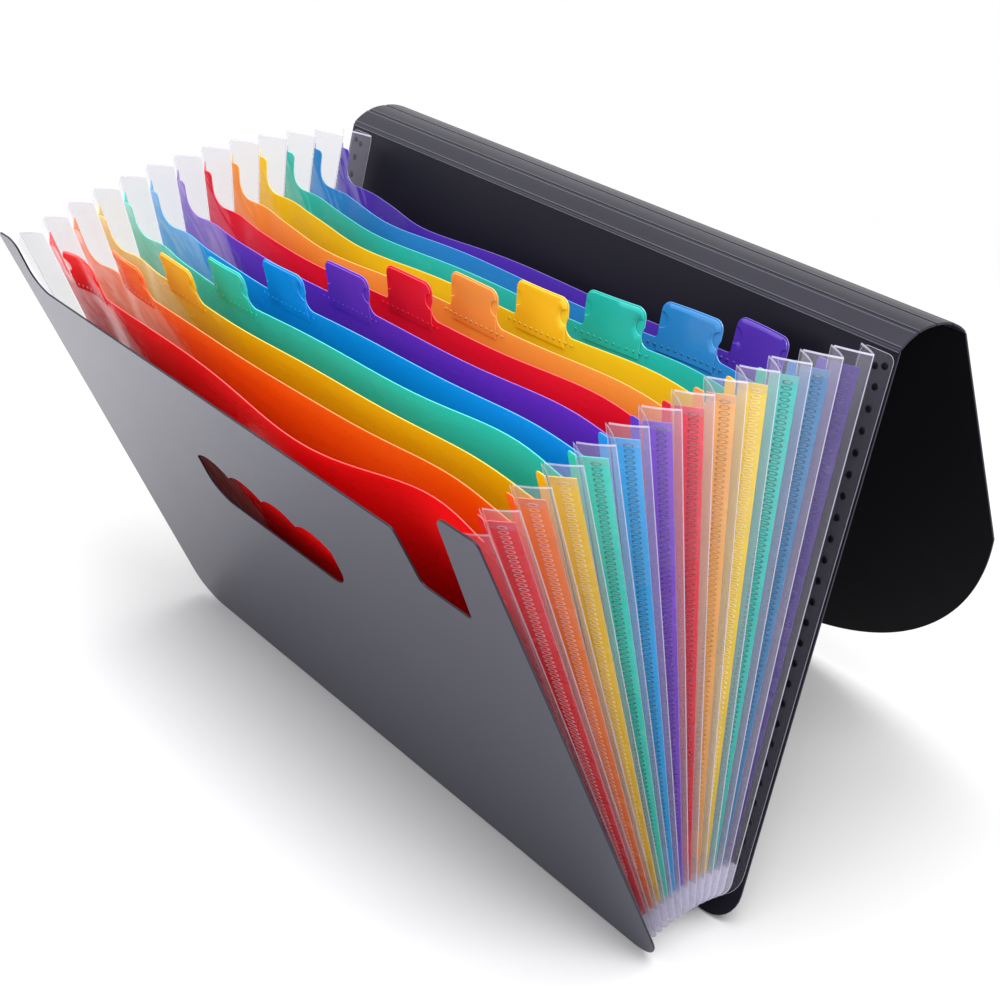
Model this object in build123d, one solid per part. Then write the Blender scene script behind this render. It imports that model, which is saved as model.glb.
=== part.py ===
"""Accordion file folder, standing open as a fan: two covers, a hinged spine and flap, twelve tabbed
dividers and thirteen pleated pockets. Millimetres; X is the width, Y runs from front to back, Z is up."""
import math
import os

from build123d import *

# Covers
cover_width = 330.0
cover_height = 232.0
back_height = 235.0
cover_thick = 0.8
cover_corner = 16.0

# Front cover edge: an ear at each end, a long lower edge and a notch beside the right ear
ear_drop = 27.0
left_ear = 15.0
left_ear_foot = 12.0
right_ear = 21.0
notch_top = 37.0
notch_foot = 27.5
notch_foot_inset = 27.5
notch_depth = 26.0
ear_round = 5.0
small_round = 3.0
step_round = 10.0

# Handle hole with a lobed grip edge
grip_lobes = 4
grip_pitch = 24.4
grip_rise = 4.4
grip_foot = 130.0
grip_shoulder = 22.0
grip_round = 12.0
grip_offset = 9.2

# Fan
pocket_count = 13
front_lean = 26.5
back_lean = 11.3
lean_bias_share = 0.143
apex_depth = 49.85
root_radius = 52.8

# Dividers and their tabs
divider_thick = 0.4
divider_top = 210.0
divider_foot = 24.0
tab_width = 28.2
tab_height = 15.0
tab_round = 4.0
tab_first_gap = 3.2
tab_last_gap = 15.6
ear_width = 5.6
label_thick = 0.3
label_inset = 0.6
label_tail = 5.0
label_cut = 2.4
thumb_radius = 3.2

# Pleated film
film_thick = 0.2
film_top = 231.0
film_foot = 7.0
fold_inset = 4.0
fold_depth = 12.0
fold_gap = 0.8
film_clear = 0.4
band_inset = 1.0
front_band_width = 10.0
back_band_width = 15.0
band_rise = 10.0

# Weld flanges on the dividers
bend_rise = 12.0
flange_side_share = 0.74
flange_foot_share = 0.4
flange_clear = 0.25

# Spine strips and flap
strip_count = 4
strip_pitch = 9.5
score_gap = 0.8
fold_total = 145.2
fold_shares = (0.331, 0.165, 0.110, 0.152, 0.242)
flap_side = 104.0
flap_length = 231.0

half_width = cover_width / 2
outer_half = half_width - fold_inset
inner_half = outer_half - fold_depth
half_cover = cover_thick / 2
half_divider = divider_thick / 2
half_film = film_thick / 2
tab_top = divider_top + tab_height


def lean_of(place):
    """Lean of the sheet at a place along the fan, 0 for the front cover, pocket_count for the back."""
    share = place / pocket_count
    share = share - lean_bias_share * share * (1 - share)
    return math.radians(-front_lean + (front_lean + back_lean) * share)


def sheet_point(lean, x, s, w, radius=root_radius):
    """Point on a leaning sheet: x across, s up the sheet, w off its face towards the front."""
    r = radius + s
    y = r * math.sin(lean) - w * math.cos(lean)
    z = r * math.cos(lean) + w * math.sin(lean) - apex_depth
    return Vector(x, y, z)


def sheet_plane(lean, radius, w=0.0):
    """Sketch plane of a leaning sheet, with sketch X across and sketch Y up the sheet."""
    facing = (0, -math.cos(lean), math.sin(lean))
    return Plane(origin=sheet_point(lean, 0, 0, w, radius), x_dir=(1, 0, 0), z_dir=facing)


def plate(face, plane, thick):
    """Flat plate of a sketched face, grown from the plane towards the front."""
    return extrude(plane.location * face, amount=thick, dir=plane.z_dir)


def joined_face(edges):
    return Face(Wire(edges))


def rounded_outline(corners):
    """Face from (x, y, radius) corners, each turned with a tangent arc."""
    turns = []
    for i, (x, y, radius) in enumerate(corners):
        corner = Vector(x, y)
        before = (Vector(*corners[i - 1][:2]) - corner).normalized()
        after = (Vector(*corners[(i + 1) % len(corners)][:2]) - corner).normalized()
        half = math.radians(before.get_angle(after)) / 2
        cut = radius / math.tan(half)
        bisector = (before + after).normalized()
        middle = corner + bisector * (radius / math.sin(half) - radius)
        turns.append((corner + before * cut, middle, corner + after * cut, radius))
    edges = []
    for i, (start, middle, end, radius) in enumerate(turns):
        edges.append(Edge.make_line(turns[i - 1][2], start))
        if radius > 0:
            edges.append(Edge.make_three_point_arc(start, middle, end))
    return joined_face(edges)


def grip_face():
    """Handle hole: straight foot, round shoulders and a row of finger lobes along the top."""
    left = -grip_offset - grip_pitch * grip_lobes / 2
    right = left + grip_pitch * grip_lobes
    cusp = grip_foot + grip_shoulder
    edges = []
    for i in range(grip_lobes):
        start = left + i * grip_pitch
        crown = (start + grip_pitch / 2, cusp + grip_rise)
        edges.append(Edge.make_three_point_arc((start, cusp), crown, (start + grip_pitch, cusp)))
    bend = grip_round * (1 - math.sqrt(1 / 2))
    low = grip_foot + grip_round
    edges.append(Edge.make_line((right, cusp), (right, low)))
    turn = (right - bend, grip_foot + bend)
    edges.append(Edge.make_three_point_arc((right, low), turn, (right - grip_round, grip_foot)))
    edges.append(Edge.make_line((right - grip_round, grip_foot), (left + grip_round, grip_foot)))
    turn = (left + bend, grip_foot + bend)
    edges.append(Edge.make_three_point_arc((left + grip_round, grip_foot), turn, (left, low)))
    edges.append(Edge.make_line((left, low), (left, cusp)))
    return joined_face(edges)


def front_cover():
    main = cover_height - ear_drop
    step = half_width - left_ear_foot
    notch_right = half_width - right_ear
    notch_left = notch_right - notch_top
    foot_right = half_width - notch_foot_inset
    foot_left = foot_right - notch_foot
    face = rounded_outline([
        (-half_width, 0, cover_corner),
        (half_width, 0, cover_corner),
        (half_width, cover_height, small_round),
        (notch_right, cover_height, ear_round),
        (foot_right, main - notch_depth, small_round),
        (foot_left, main - notch_depth, small_round),
        (notch_left, main, small_round),
        (-step, main, step_round),
        (-half_width + left_ear, cover_height, ear_round),
        (-half_width, cover_height, small_round),
    ])
    lean = lean_of(0)
    return plate(face - grip_face(), sheet_plane(lean, cover_root(lean)), cover_thick)


def cover_root(lean):
    """Distance from the fan's apex to a cover's foot, so its outer bottom edge meets the floor."""
    return (apex_depth + cover_thick * math.sin(abs(lean))) / math.cos(lean)


def back_cover():
    face = rounded_outline([
        (-half_width, 0, cover_corner),
        (half_width, 0, cover_corner),
        (half_width, back_height, 0),
        (-half_width, back_height, 0),
    ])
    lean = lean_of(pocket_count)
    return plate(face, sheet_plane(lean, cover_root(lean), -cover_thick), cover_thick)


def spine_axes():
    """Score lines of the spine as (lean, y, z): the fold line a piece starts at and the way it runs."""
    lean = lean_of(pocket_count)
    at = sheet_point(lean, 0, back_height + score_gap / 2, -half_cover, cover_root(lean))
    axes = []
    for share in fold_shares:
        lean = lean + math.radians(fold_total * share)
        axes.append((lean, at.Y, at.Z))
        at = at + Vector(0, math.sin(lean), math.cos(lean)) * strip_pitch
    return axes


def spine_plane(axis):
    lean, y, z = axis
    facing = Vector(0, -math.cos(lean), math.sin(lean))
    return Plane(origin=Vector(0, y, z) - facing * half_cover, x_dir=(1, 0, 0), z_dir=facing)


def spine_strip(axis):
    low = score_gap / 2
    high = strip_pitch - score_gap / 2
    face = rounded_outline([
        (-half_width, low, 0),
        (half_width, low, 0),
        (half_width, high, 0),
        (-half_width, high, 0),
    ])
    return plate(face, spine_plane(axis), cover_thick)


def flap(axis):
    low = score_gap / 2
    right_low = (half_width, low)
    right_side = (half_width, flap_side)
    left_side = (-half_width, flap_side)
    left_low = (-half_width, low)
    face = joined_face([
        Edge.make_line(left_low, right_low),
        Edge.make_line(right_low, right_side),
        Edge.make_three_point_arc(right_side, (0, flap_length), left_side),
        Edge.make_line(left_side, left_low),
    ])
    return plate(face, spine_plane(axis), cover_thick)


def tab_left(number):
    """Left edge of a divider's tab: the tabs step evenly from one end of the sheet to the other."""
    first = -inner_half + ear_width + tab_first_gap
    last = inner_half - ear_width - tab_last_gap - tab_width
    return first + (last - first) * (number - 1) / (pocket_count - 2)


def divider(number):
    left = tab_left(number)
    right = left + tab_width
    ear = inner_half - ear_width
    face = rounded_outline([
        (-inner_half, divider_foot, 0),
        (inner_half, divider_foot, 0),
        (inner_half, tab_top, 0),
        (ear, tab_top, 0),
        (ear, divider_top, 0),
        (right, divider_top, 0),
        (right, tab_top, tab_round),
        (left, tab_top, tab_round),
        (left, divider_top, 0),
        (-ear, divider_top, 0),
        (-ear, tab_top, 0),
        (-inner_half, tab_top, 0),
    ])
    return plate(face, sheet_plane(lean_of(number), root_radius, -half_divider), divider_thick)


def label_pocket(number):
    left = tab_left(number) + label_inset
    right = left + tab_width - 2 * label_inset
    top = tab_top - label_inset
    foot = divider_top - label_tail
    face = rounded_outline([
        (left, foot, 0),
        (right, foot, 0),
        (right, top - label_cut, 0),
        (right - label_cut, top, 0),
        (left + label_cut, top, 0),
        (left, top - label_cut, 0),
    ])
    middle = divider_top + tab_height / 2
    for side in (left, right):
        face = face - Pos(side, middle) * Circle(thumb_radius)
    return plate(face, sheet_plane(lean_of(number), root_radius, half_divider), label_thick)


def mirrored(stations):
    """Stations of the right half followed by their mirror images, back up the left side."""
    left = [((-x, s), (-outer_x, outer_s)) for (x, s), (outer_x, outer_s) in reversed(stations)]
    return stations + left


def side_station(s):
    """Station on the straight side of a pocket: (inner x, s), (outer x, s)."""
    return (inner_half, s), (outer_half, s)


def corner_station():
    """Station on the mitre where a pocket's side pleat meets its foot pleat."""
    return (inner_half, divider_foot), (outer_half, film_foot)


def pleat_points(pocket, station):
    """Front fold, outer fold and rear fold of a pocket's film at one station."""
    (x, s), (outer_x, outer_s) = station
    reach = math.hypot(outer_x - x, outer_s - s)
    start_x = x + fold_gap * (outer_x - x) / reach
    start_s = s + fold_gap * (outer_s - s) / reach
    start = sheet_point(lean_of(pocket - 1), start_x, start_s, 0)
    if pocket == 1:
        start = sheet_point(lean_of(0), start_x, start_s, -film_thick - film_clear)
    rear_clear = film_thick if pocket == pocket_count else half_divider
    end = sheet_point(lean_of(pocket), x, s, rear_clear + film_clear)
    return start, sheet_point(lean_of(pocket - 1 / 2), outer_x, outer_s, 0), end


def gusset_film(pocket):
    """One pocket's pleat: two film panels meeting at an outer fold, down both sides and the foot."""
    sections = []
    for station in mirrored([side_station(film_top), corner_station()]):
        start, fold, end = pleat_points(pocket, station)
        normal = (fold - start).cross(end - start).normalized()
        first = normal.cross((fold - start).normalized()) * half_film
        second = normal.cross((end - fold).normalized()) * half_film
        mitre = (first + second) * (half_film ** 2 / (half_film ** 2 + first.dot(second)))
        ring = [start + first, fold + mitre, end + second, end - second, fold - mitre, start - first]
        sections.append(Wire.make_polygon(ring, close=True))
    return Solid.make_loft(sections, ruled=True)


def flange_stations():
    """Stations of a weld flange with the share of the front panel it covers at each."""
    stations = [
        side_station(tab_top),
        side_station(divider_foot + bend_rise),
        corner_station(),
    ]
    shares = [flange_side_share, flange_side_share, flange_foot_share]
    return zip(mirrored(stations), shares + shares[::-1])


def weld_flange(number):
    """A divider's edge strip, turned along the inside of the front film panel of the pocket behind it."""
    half = half_divider
    away = half_film + flange_clear + half
    sections = []
    for station, share in flange_stations():
        start, fold, end = pleat_points(number + 1, station)
        normal = (fold - start).cross(end - start).normalized()
        inward = normal.cross((fold - start).normalized())
        near = start + inward * away
        far = near + (fold - start) * share
        ring = [near - inward * half, far - inward * half, far + inward * half, near + inward * half]
        sections.append(Wire.make_polygon(ring, close=True))
    return Solid.make_loft(sections, ruled=True)


def film_band(place, width, thick_from):
    """The film's own flange, lying flat on the inside of a cover along both sides and the foot."""
    lean = lean_of(place)
    root = cover_root(lean)
    lift = root_radius - root
    outer = half_width - band_inset
    inner = outer - width
    foot = film_foot + lift
    top = film_top + lift
    rim = foot + band_rise
    face = rounded_outline([
        (-outer, foot, cover_corner),
        (outer, foot, cover_corner),
        (outer, top, small_round),
        (inner, top, 0),
        (inner, rim, small_round),
        (-inner, rim, small_round),
        (-inner, top, 0),
        (-outer, top, small_round),
    ])
    return plate(face, sheet_plane(lean, root, thick_from), film_thick)


def build_pieces():
    """Every piece by name, standing on the floor with the fan's apex below the origin."""
    axes = spine_axes()
    pieces = {"front_cover": front_cover(), "back_cover": back_cover()}
    for i in range(strip_count):
        pieces[f"spine_strip_{i + 1}"] = spine_strip(axes[i])
    pieces["flap"] = flap(axes[strip_count])
    for number in range(1, pocket_count):
        pieces[f"divider_{number:02d}"] = divider(number)
        pieces[f"label_pocket_{number:02d}"] = label_pocket(number)
        pieces[f"weld_flange_{number:02d}"] = weld_flange(number)
    for pocket in range(1, pocket_count + 1):
        pieces[f"gusset_film_{pocket:02d}"] = gusset_film(pocket)
    pieces["front_film_band"] = film_band(0, front_band_width, -film_thick)
    pieces["rear_film_band"] = film_band(pocket_count, back_band_width, 0)
    return pieces


def depth_middle(pieces):
    """Y of the middle of the whole object, front cover's ears to the flap's edge."""
    boxes = [piece.bounding_box() for piece in pieces.values()]
    return (min(b.min.Y for b in boxes) + max(b.max.Y for b in boxes)) / 2


pieces = build_pieces()
middle_y = depth_middle(pieces)
os.makedirs("parts", exist_ok=True)
for name, piece in pieces.items():
    solid = Pos(0, -middle_y, 0) * piece
    solid.label = name
    export_step(solid, f"parts/{name}.step")
print(len(pieces), "pieces, moved", round(-middle_y, 3), "mm in Y")
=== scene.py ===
# %% [markdown]
# # An accordion file folder, standing open as a fan
#
# The file is two dark plastic covers, twelve coloured dividers and thirteen pleats of clear film.
# The imported CAD model is loaded first. Its bodies carry the pieces made here, all but the webs at the
# score lines, so these pieces move with its joints and nothing is fitted by eye.

# %% Load the frame
import math

import bpy
import numpy as np
from mathutils import Matrix, Vector
from mathutils.geometry import delaunay_2d_cdt


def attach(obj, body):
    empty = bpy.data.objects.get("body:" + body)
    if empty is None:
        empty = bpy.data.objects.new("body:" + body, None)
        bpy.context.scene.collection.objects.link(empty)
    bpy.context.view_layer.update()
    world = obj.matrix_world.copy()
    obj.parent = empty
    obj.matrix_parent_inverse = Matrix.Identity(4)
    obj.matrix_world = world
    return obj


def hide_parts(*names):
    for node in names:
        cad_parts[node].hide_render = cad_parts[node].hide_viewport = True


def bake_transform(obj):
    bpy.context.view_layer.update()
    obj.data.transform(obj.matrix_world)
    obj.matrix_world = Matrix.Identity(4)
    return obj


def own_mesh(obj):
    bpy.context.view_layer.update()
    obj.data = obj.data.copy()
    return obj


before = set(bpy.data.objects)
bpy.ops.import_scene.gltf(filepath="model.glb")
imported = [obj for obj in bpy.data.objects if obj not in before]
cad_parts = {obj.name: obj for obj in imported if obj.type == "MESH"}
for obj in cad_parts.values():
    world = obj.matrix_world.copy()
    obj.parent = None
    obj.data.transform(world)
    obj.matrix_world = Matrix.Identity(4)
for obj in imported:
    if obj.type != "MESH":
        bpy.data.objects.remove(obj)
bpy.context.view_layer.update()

# %% [markdown]
# ## Sizes of the fan
#
# Every sheet of the file turns about one line below the floor, like the blades of a fan.
# A spot on a sheet is given by x across it, s up from its foot and w off its face towards the front,
# so that a shape can be drawn flat and then stood at its lean by one rule.
# These sizes are the product's own, in millimetres. The scene itself is in metres.

# %% Fan sizes
MM = 0.001
COVER_WIDTH = 330.0
COVER_HEIGHT = 232.0
BACK_HEIGHT = 235.0
COVER_THICK = 0.8
COVER_CORNER = 16.0
POCKETS = 13
FRONT_LEAN = 26.5
BACK_LEAN = 11.3
LEAN_BIAS = 0.143
APEX_DEPTH = 49.85
ROOT = 52.8
MIDDLE_Y = 27.409
FILM_INSET = 4.0
PLEAT_DEPTH = 12.0
HALF_WIDTH = COVER_WIDTH / 2
OUTER_HALF = HALF_WIDTH - FILM_INSET
INNER_HALF = OUTER_HALF - PLEAT_DEPTH


def lean_of(place):
    """Lean of the sheet at a place along the fan: 0 is the front cover, POCKETS the back."""
    share = place / POCKETS
    share -= LEAN_BIAS * share * (1 - share)
    return math.radians(-FRONT_LEAN + (FRONT_LEAN + BACK_LEAN) * share)


def on_sheet(lean, x, s, w, root=ROOT):
    """A spot on a leaning sheet, in metres."""
    r = root + s
    y = r * math.sin(lean) - w * math.cos(lean) - MIDDLE_Y
    z = r * math.cos(lean) + w * math.sin(lean) - APEX_DEPTH
    return Vector((x, y, z)) * MM


def sheet_normal(lean):
    """The way a leaning sheet faces, towards the front."""
    return Vector((0, -math.cos(lean), math.sin(lean)))


def cover_root(lean):
    """Distance from the fan's apex to a cover's foot."""
    return (APEX_DEPTH + COVER_THICK * math.sin(abs(lean))) / math.cos(lean)


print("pocket angle", round(math.degrees(lean_of(7) - lean_of(6)), 2), "degrees")

# %% [markdown]
# ## Helpers for finishes
#
# Every finish is made of shader nodes on the piece's own coordinates, so it needs no picture and stays
# with its piece when that moves. A node tree is many small boxes joined by wires. These helpers add a
# box and wire it by the names of its inputs, which keeps each finish short enough to read.

# %% Node helpers
NOISE_LOW = 0.3
NOISE_HIGH = 0.7
WHITE = (1.0, 1.0, 1.0, 1)


def put(node, key, value):
    """A plain value, or another node's output, led into an input of a node."""
    if isinstance(value, bpy.types.NodeSocket):
        node.id_data.links.new(value, node.inputs[key])
    else:
        node.inputs[key].default_value = value


def add_node(tree, kind, **values):
    """A node with its properties set and its inputs fed, by name."""
    node = tree.nodes.new(kind)
    for key, value in values.items():
        if key in node.inputs:
            put(node, key, value)
        else:
            setattr(node, key, value)
    return node


def new_finish(name):
    """A new material, its node tree and its shader."""
    finish = bpy.data.materials.new(name)
    finish.use_nodes = True
    tree = finish.node_tree
    return finish, tree, tree.nodes["Principled BSDF"]


def own_place(tree):
    """The piece's own coordinates."""
    return add_node(tree, "ShaderNodeTexCoord").outputs["Object"]


def noise(tree, scale, detail=2.0, stretch=(1, 1, 1)):
    """Noise on the piece's own coordinates, stretched along an axis where asked."""
    spot = add_node(tree, "ShaderNodeMapping", Vector=own_place(tree), Scale=stretch).outputs["Vector"]
    return add_node(tree, "ShaderNodeTexNoise", Vector=spot, Scale=scale, Detail=detail).outputs["Fac"]


def share_of(tree, source, first, last, low, high, shape="LINEAR"):
    """A node value carried from one range to another and held at its ends."""
    ends = {"From Min": first, "From Max": last, "To Min": low, "To Max": high}
    span = add_node(tree, "ShaderNodeMapRange", interpolation_type=shape, Value=source, **ends)
    return span.outputs["Result"]


def spread_value(tree, source, low, high):
    """The middle of a noise's values, where most of them lie, carried to a range."""
    return share_of(tree, source, NOISE_LOW, NOISE_HIGH, low, high)


def sum_of(tree, operation, *parts):
    """A maths node fed by sockets or plain numbers."""
    node = add_node(tree, "ShaderNodeMath", operation=operation)
    for i, part in enumerate(parts):
        put(node, i, part)
    return node.outputs["Value"]


def bump(tree, shader, source, strength, depth):
    """Fine relief from a node value."""
    node = add_node(tree, "ShaderNodeBump", Strength=strength, Distance=depth, Height=source)
    put(shader, "Normal", node.outputs["Normal"])


def shade(tree, source, dark, light):
    """A colour between two, by a noise's value."""
    ramp = add_node(tree, "ShaderNodeValToRGB", Fac=source)
    for end, place, colour in zip(ramp.color_ramp.elements, (NOISE_LOW, NOISE_HIGH), (dark, light)):
        end.position = place
        end.color = (*colour, 1)
    return ramp.outputs["Color"]


def mix_colours(tree, share, first, second):
    """A colour between two. A Mix node's colour sockets come after those for numbers and vectors."""
    node = add_node(tree, "ShaderNodeMix", data_type="RGBA")
    for key, value in ((0, share), (6, first), (7, second)):
        put(node, key, value)
    return node.outputs[2]


def mix_shaders(tree, share, first, second, end="Material Output"):
    """Two shaders mixed by a share and led to the tree's output."""
    node = add_node(tree, "ShaderNodeMixShader", Fac=share)
    put(node, 1, first)
    put(node, 2, second)
    put(tree.nodes[end], "Surface", node.outputs["Shader"])


def screen(red, green, blue):
    """Linear colour from the 0 to 255 values of a screen."""
    parts = [value / 255 for value in (red, green, blue)]
    return tuple(p / 12.92 if p < 0.04045 else ((p + 0.055) / 1.055) ** 2.4 for p in parts)


print("node helpers ready, white is", screen(255, 255, 255))

# %% [markdown]
# ## The covers' plastic
#
# The covers are dark polypropylene with a fine leather grain, so most of what shows on them is a soft
# sheen. The grain is far too fine to model, so it is a bump in the finish. The inside is darker and less
# glossy than the outside, and the ribs beside the score lines are painted pale, a painted highlight.

# %% Cover plastic
SHEEN_TINT = (0.72, 0.71, 1.0, 1)
SMEAR = 0.03
GRAIN_STRENGTH = 0.16
GRAIN_DEPTH = 0.0001


def cover_finish(name, dark, light, rough, gloss):
    """Dark polypropylene with a fine leather grain."""
    finish, tree, shader = new_finish(name)
    put(shader, "Specular IOR Level", gloss)
    put(shader, "Specular Tint", SHEEN_TINT)
    put(shader, "Base Color", shade(tree, noise(tree, scale=9.0), dark, light))
    smear = noise(tree, scale=40.0, detail=3.0)
    put(shader, "Roughness", spread_value(tree, smear, rough * (1 - SMEAR), rough * (1 + SMEAR)))
    bump(tree, shader, noise(tree, scale=2600.0, detail=1.0), GRAIN_STRENGTH, GRAIN_DEPTH)
    return finish


# Name, darkest and palest colour, roughness and gloss
COVER_OUTSIDE = cover_finish("cover_grain", (0.012, 0.011, 0.028), (0.015, 0.014, 0.034), 0.24, 0.85)
COVER_INSIDE = cover_finish("cover_inside", (0.006, 0.0055, 0.009), (0.008, 0.0075, 0.012), 0.42, 0.14)
SPINE_FACE = cover_finish("spine_face", (0.012, 0.0115, 0.016), (0.016, 0.0155, 0.020), 0.36, 0.37)
# Painted highlight: the ribs beside the score lines are painted pale grey.
RIB_PAINTED_HIGHLIGHT = cover_finish("score_rib", (0.05, 0.05, 0.056), (0.07, 0.07, 0.078), 0.3, 0.6)
# Painted shade: the flap's outer face is painted near black for the shade it hangs in; the band dimples
# share it.
FLAP_SHADE_AND_DIMPLES = cover_finish("flap_shade_and_dimples", (0.003, 0.0028, 0.004), (0.004, 0.0038, 0.005), 0.5, 0.1)
COVER_EDGE = cover_finish("cover_cut_edge", (0.012, 0.011, 0.018), (0.018, 0.017, 0.024), 0.4, 0.25)
print("cover finishes made")

# %% [markdown]
# ## The dividers' plastic
#
# The dividers are thin coloured polypropylene: glossy, with fine streaks from rolling, and some light
# comes through them, which a translucent shader mixed into the gloss gives. At their left ends the
# bright film shows in the gloss as a pale brushed patch. A true mirror image would need the studio's own
# lamps, so the patch is drawn in the finish, with an edge that leans as the strokes do.

# %% Divider plastic
DIVIDER_COLOURS = {
    "red": (255, 0, 12),
    "orange": (255, 146, 0),
    "yellow": (255, 222, 0),
    "teal": (0, 236, 222),
    "blue": (0, 190, 255),
    "purple": (146, 64, 224),
    "rear_red": (250, 8, 40),
    "peach": (255, 196, 92),
    "rear_yellow": (255, 226, 30),
    "green": (0, 214, 206),
    "rear_blue": (58, 162, 228),
    "rear_purple": (104, 58, 202),
}
SLOTS = list(DIVIDER_COLOURS)
# Where a sheet's pale patch ends, in metres across, and how strong it is
GLARE = {
    "red": (-0.110, 0.8),
    "orange": (-0.086, 0.8),
    "yellow": (-0.096, 0.62),
    "teal": (-0.120, 0.6),
    "blue": (-0.114, 0.68),
    "purple": (-0.114, 0.62),
}
GLARE_REST = (-0.138, 0.4)
GLARE_COLOUR = (1.0, 0.96, 0.98, 1)
GLARE_SLOPE = 0.8
GLARE_TILT = math.radians(-38)
GLARE_WANDER = 0.009
STROKE_LENGTH = 7
STROKE_SCALE = 260.0
STROKE_DETAIL = 3.0
SHEET_TOP = 208.0
COAT = 0.35
COAT_ROUGH = 0.12


def glare_mask(tree, start, amount, top):
    """Painted reflection: a pale patch and brushed streaks at a sheet's left end, where the bright film
    shows in its gloss.
    """
    spot = own_place(tree)
    axes = add_node(tree, "ShaderNodeSeparateXYZ", Vector=spot).outputs
    slant = sum_of(tree, "MULTIPLY_ADD", axes["Z"], GLARE_SLOPE, axes["X"])
    brush = add_node(
        tree, "ShaderNodeMapping", vector_type="TEXTURE", Vector=spot,
        Rotation=(0, GLARE_TILT, 0), Scale=(1, 1, STROKE_LENGTH)).outputs["Vector"]
    strokes = add_node(
        tree, "ShaderNodeTexNoise", Vector=brush, Scale=STROKE_SCALE,
        Detail=STROKE_DETAIL).outputs["Fac"]
    wander = spread_value(tree, strokes, -GLARE_WANDER, GLARE_WANDER)
    past = sum_of(tree, "ADD", sum_of(tree, "ADD", slant, wander), -start - GLARE_SLOPE * top)
    patch = share_of(tree, past, -0.006, 0.002, 1.0, 0.0)
    broad = share_of(tree, strokes, 0.48, 0.62, 0.66, 1.0)
    trail = share_of(tree, past, 0.0, 0.022, 0.9, 0.0)
    thin = share_of(tree, strokes, 0.60, 0.66, 0.0, 1.0)
    full = sum_of(tree, "MULTIPLY", patch, broad)
    tail = sum_of(tree, "MULTIPLY", trail, thin)
    return sum_of(tree, "MULTIPLY", sum_of(tree, "MAXIMUM", full, tail), amount)


def divider_finish(name, colour, lift, through, glare=None, top=0.0):
    """Thin coloured polypropylene: glossy, with rolling streaks, and some light coming through it."""
    finish, tree, shader = new_finish(name)
    white = Vector((1, 1, 1))
    # lift paints the colour paler towards white: a painted highlight on cut edges and pale weld marks.
    body = Vector(colour).lerp(white, lift)
    streaks = noise(tree, scale=30.0, detail=3.0, stretch=(0.12, 1, 1))
    colour_out = shade(tree, streaks, body * 0.93, body.lerp(white, 0.03))
    put(shader, "Coat Weight", COAT)
    put(shader, "Coat Roughness", COAT_ROUGH)
    if glare:
        mask = glare_mask(tree, *glare, top)
        # Painted reflection in the base colour; the coat rises in the patch too.
        colour_out = mix_colours(tree, mask, colour_out, GLARE_COLOUR)
        put(shader, "Coat Weight", share_of(tree, mask, 0.0, 1.0, COAT, 1.0))
    put(shader, "Base Color", colour_out)
    rubbed = noise(tree, scale=90.0, stretch=(0.2, 1, 1))
    put(shader, "Roughness", spread_value(tree, rubbed, 0.2, 0.32))
    bump(tree, shader, noise(tree, scale=120.0, stretch=(0.15, 1, 1)), 0.1, 0.0004)
    glow = add_node(tree, "ShaderNodeBsdfTranslucent", Color=colour_out)
    mix_shaders(tree, through, shader.outputs["BSDF"], glow.outputs["BSDF"])
    return finish


print("divider colours", len(DIVIDER_COLOURS))

# %% [markdown]
# ## Each colour's finishes
#
# Cut edges are painted paler than the sheets, a painted highlight for the light they catch. The strips
# that are welded to the film lie double, so less light comes through them, and the two rearmost strips
# are painted darker, a painted shade. Weld marks are dark where the photograph shows them dark, and pale
# elsewhere: the dark is a painted shade and the pale a painted highlight on the welds. Each could be a
# material set by hand, but one loop makes them all from a single colour.

# %% Divider finishes
SHEET_THROUGH = 0.52
EDGE_THROUGH = 0.4
STRIP_THROUGH = 0.3
# Painted highlights: cut edges are lifted towards white, paler than their sheets.
SHEET_EDGE_HIGHLIGHT = 0.14
LABEL_EDGE_HIGHLIGHT = 0.12
# Painted highlight: pale weld marks are lifted towards white.
MARK_HIGHLIGHT = 0.4
DOT_SHADE = {"peach": 0.6, "rear_yellow": 0.6, "green": 0.5, "rear_blue": 0.35, "rear_purple": 0.6}
# Painted shade: the strips of the two rearmost dividers are painted darker for the back of the fan.
STRIP_PAINTED_SHADE = {"rear_blue": 0.7, "rear_purple": 0.42}
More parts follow.
